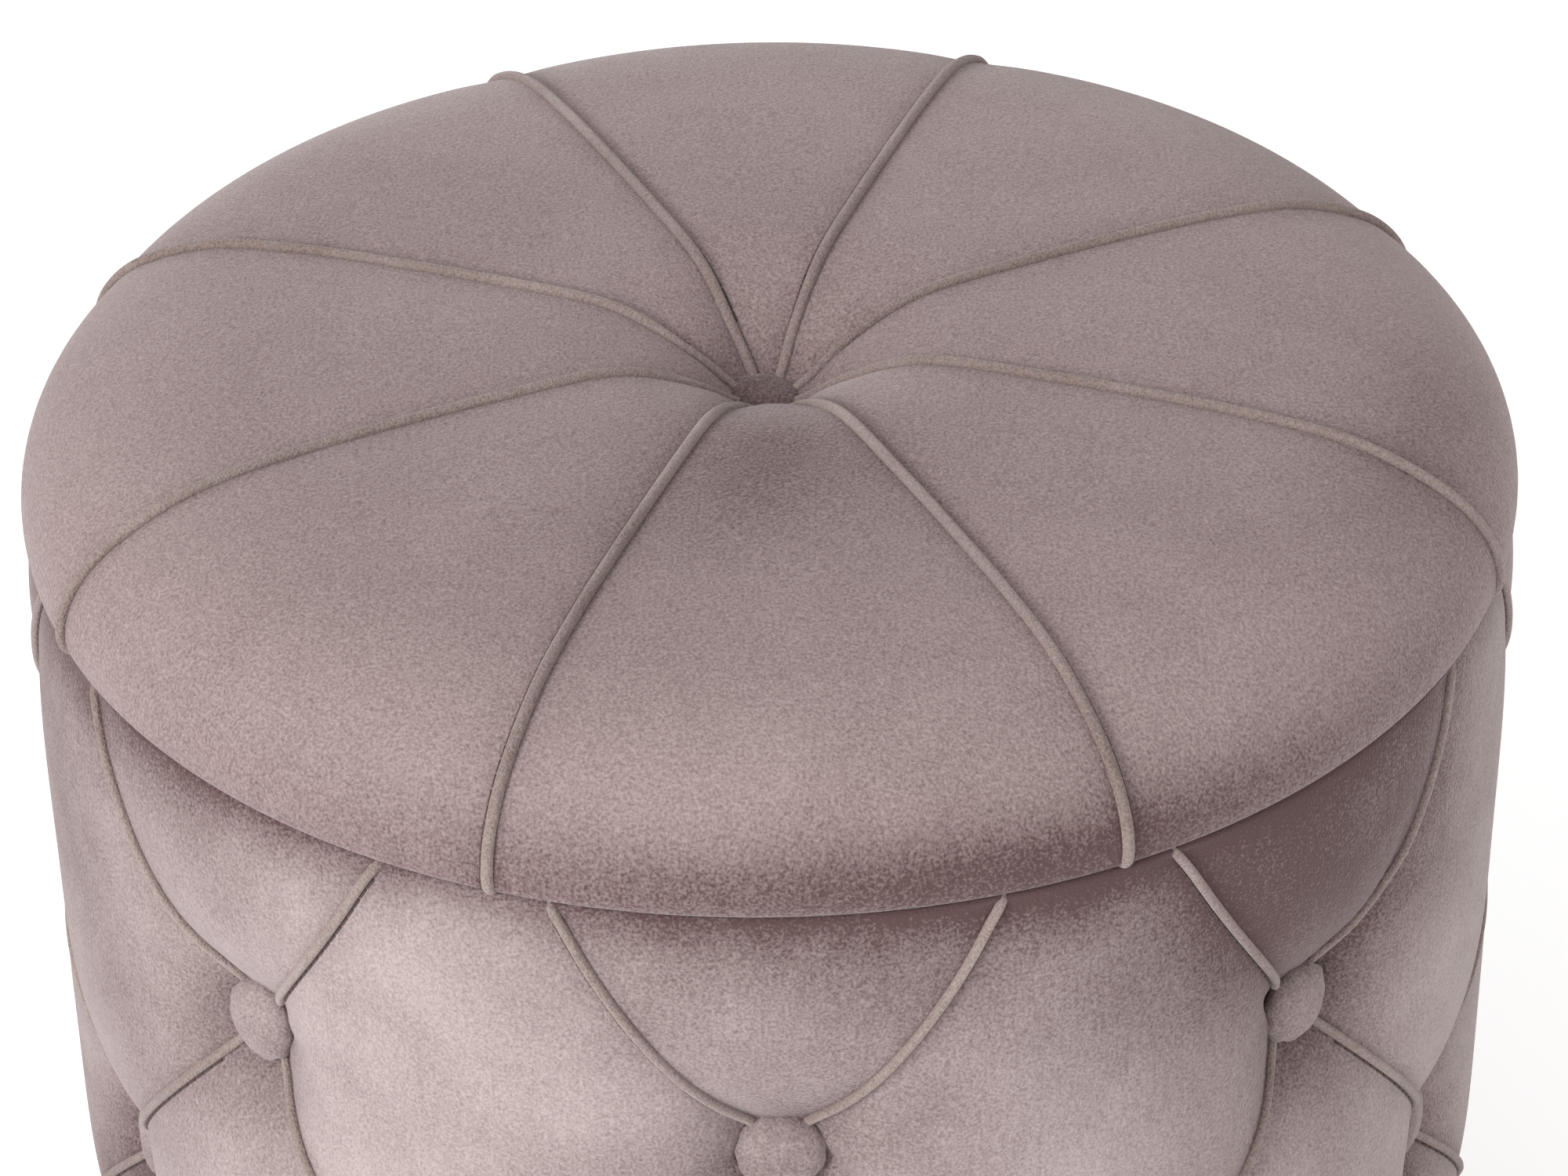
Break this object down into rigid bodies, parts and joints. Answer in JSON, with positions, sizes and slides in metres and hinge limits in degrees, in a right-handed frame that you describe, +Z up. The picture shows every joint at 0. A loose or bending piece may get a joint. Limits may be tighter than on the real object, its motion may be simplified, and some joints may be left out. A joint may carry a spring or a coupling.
{
  "type": "storage ottoman",
  "caption": "Round storage ottoman in mauve velvet: piped, deep-buttoned diamond drum with a lift-off padded lid, lined storage space and low black feet",
  "frame": {"origin": "on the floor at the centre of the drum", "axes": "+Z up along the drum's axis; -Y is the front, where a column of buttons stands; +X to the right seen from the front"},
  "size_m": [0.4404, 0.4404, 0.4407],
  "materials": {
    "velvet": "dusty mauve short-pile velvet, self-piped seams and covered buttons",
    "lining_cloth": "black non-woven polypropylene lining cloth",
    "padding": "pale upholstery foam and fibre wadding",
    "board": "raw medium-density fibreboard",
    "timber": "planed softwood",
    "hardboard": "brown hardboard sheet",
    "foot_plastic": "black moulded plastic",
    "washer_plastic": "white moulded plastic",
    "steel": "zinc-plated steel",
    "twine": "waxed upholstery twine"
  },
  "bodies": {
    "drum": {"feet": "foot_plastic", "foot_screws": "steel", "dust_cover": "lining_cloth", "dust_cover_staples": "steel", "base_board": "board", "hem_staples": "steel", "frame_posts": "timber", "rim_ring": "board", "frame_panel": "hardboard", "frame_screws": "steel", "body_padding": "padding", "body_cover": "velvet", "body_piping": "velvet", "body_button_caps": "velvet", "body_button_backs": "steel", "body_button_twines": "twine", "body_button_washers": "washer_plastic", "storage_liner": "lining_cloth", "liner_staples": "steel", "storage_floor": "hardboard", "floor_lining": "lining_cloth"},
    "lid": {"lid_board": "board", "lid_foam": "padding", "lid_wadding": "padding", "lid_cover": "velvet", "lid_piping": "velvet", "lid_button_cap": "velvet", "lid_button_back": "steel", "lid_button_twine": "twine", "lid_button_washer": "washer_plastic", "lid_cover_staples": "steel", "locating_disc": "board", "locating_screws": "steel", "lid_lining": "lining_cloth"}
  },
  "joints": [
    {"name": "lid_lift", "type": "slide", "parent": "drum", "child": "lid", "axis": [0, 0, 1], "range_m": [0, 0.3]}
  ]
}
